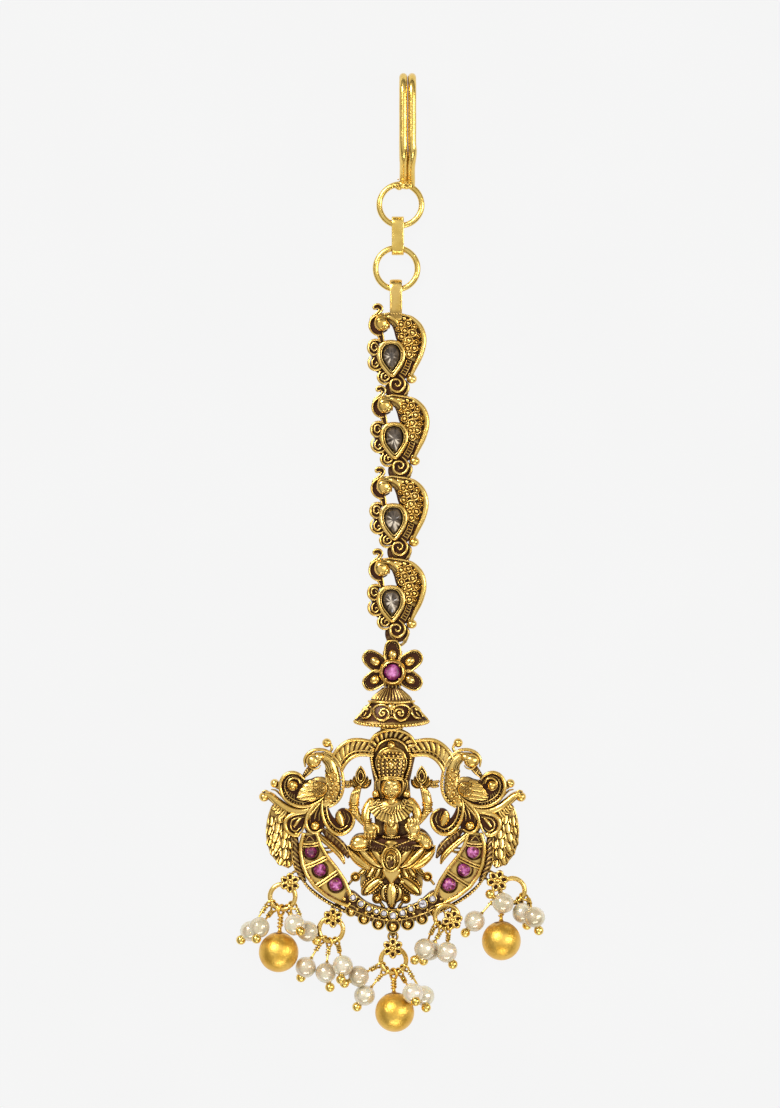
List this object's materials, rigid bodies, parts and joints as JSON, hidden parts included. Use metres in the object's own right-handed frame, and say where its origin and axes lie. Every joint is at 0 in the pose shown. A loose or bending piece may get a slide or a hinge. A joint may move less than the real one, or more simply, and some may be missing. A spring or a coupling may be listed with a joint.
{
  "type": "maang tikka (forehead jewel)",
  "caption": "Forehead jewel: hair hook, rings, a chain of peacock links, a flower over a bell cap and an openwork pendant with a seated figure, hung with pearls and gold balls.",
  "frame": {"origin": "centre of the footprint, on the surface the jewel lies on, face up", "axes": "+Y from the pendant to the hair hook, +X to the right seen from the front, +Z out of the face"},
  "size_m": [0.0462, 0.143, 0.007],
  "materials": {
    "antique_gold": "cast, gold plated, polished high spots with dark patina in the recesses",
    "bright_gold": "drawn wire and strip, gold plated, bright polish with light scratches",
    "satin_gold": "hollow balls, satin with small dents",
    "pearl": "nacre lustre with a pink and green sheen",
    "pink_stone": "polished rose pink faceted stone",
    "smoky_stone": "polished dark grey brown faceted stone"
  },
  "bodies": {
    "root": {"connecting_ring_1": "antique_gold", "connecting_ring_2": "antique_gold", "connecting_ring_3": "antique_gold", "connecting_ring_4": "antique_gold", "connecting_ring_5": "antique_gold", "drop_flower_a": "antique_gold", "drop_flower_b": "antique_gold", "drop_flower_c": "antique_gold", "drop_flower_d": "antique_gold", "drop_flower_e": "antique_gold", "drop_ring_a": "antique_gold", "drop_ring_b": "antique_gold", "drop_ring_c": "antique_gold", "drop_ring_d": "antique_gold", "drop_ring_e": "antique_gold", "flower_bell": "antique_gold", "flower_stone": "pink_stone", "gold_bead_a": "satin_gold", "gold_bead_c": "satin_gold", "gold_bead_e": "satin_gold", "hair_hook": "bright_gold", "lower_ring": "bright_gold", "peacock_link_1": "antique_gold", "peacock_link_2": "antique_gold", "peacock_link_3": "antique_gold", "peacock_link_4": "antique_gold", "pear_stone_1": "smoky_stone", "pear_stone_2": "smoky_stone", "pear_stone_3": "smoky_stone", "pear_stone_4": "smoky_stone", "pearl_drop_a1": "pearl", "pearl_drop_a2": "pearl", "pearl_drop_a3": "pearl", "pearl_drop_a4": "pearl", "pearl_drop_b1": "pearl", "pearl_drop_b2": "pearl", "pearl_drop_b3": "pearl", "pearl_drop_c1": "pearl", "pearl_drop_c2": "pearl", "pearl_drop_c3": "pearl", "pearl_drop_c4": "pearl", "pearl_drop_d1": "pearl", "pearl_drop_d2": "pearl", "pearl_drop_d3": "pearl", "pearl_drop_e1": "pearl", "pearl_drop_e2": "pearl", "pearl_drop_e3": "pearl", "pearl_drop_e4": "pearl", "pendant": "antique_gold", "pink_stone_a": "pink_stone", "pink_stone_b": "pink_stone", "pink_stone_c": "pink_stone", "pink_stone_d": "pink_stone", "pink_stone_e": "pink_stone", "pink_stone_f": "pink_stone", "strap_link": "bright_gold"}
  },
  "joints": []
}
